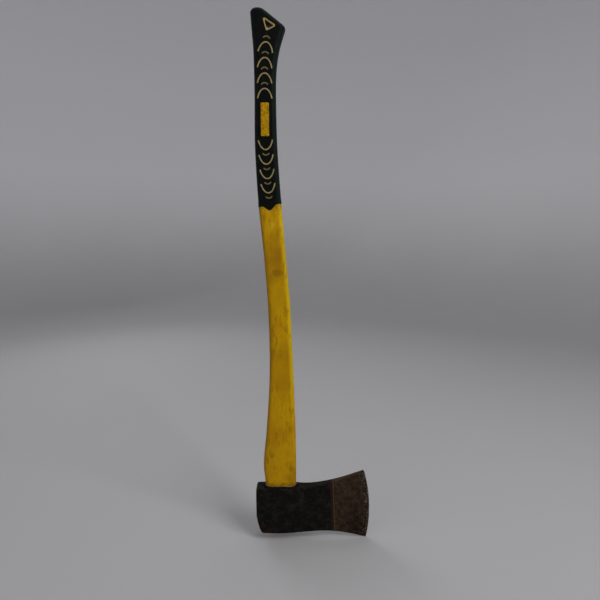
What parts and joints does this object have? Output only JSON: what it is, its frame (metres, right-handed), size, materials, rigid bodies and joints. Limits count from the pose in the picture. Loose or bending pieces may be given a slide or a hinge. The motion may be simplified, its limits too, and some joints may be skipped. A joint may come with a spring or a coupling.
{
  "type": "fire axe",
  "caption": "Flat-poll single-bit fire axe: forged steel head with a flared bit, curved moulded handle and rubber grip with a hang hole in the knob.",
  "frame": {"origin": "on the flat end face of the head, on the centre line of the eye that the handle passes through", "axes": "+Z along the handle from the head to the knob, +X toward the cutting edge with the flat poll on -X, Y through the thickness"},
  "size_m": [0.213, 0.032, 0.927],
  "materials": {
    "head_steel": "worn dark paint over forged steel, bare and pitted with brown rust from the cheeks to the edge",
    "core_fibreglass": "pultruded glass-fibre rod",
    "jacket_plastic": "moulded yellow plastic, satin, with brown grime",
    "grip_rubber": "dark green-black moulded rubber, satin",
    "eye_resin": "cast bonding resin, amber-brown",
    "seal_rubber": "dark soft seal"
  },
  "bodies": {
    "root": {"axe_head": "head_steel", "core_rod": "core_fibreglass", "handle_jacket": "jacket_plastic", "grip": "grip_rubber", "eye_resin": "eye_resin", "eye_seal": "seal_rubber"}
  },
  "joints": []
}
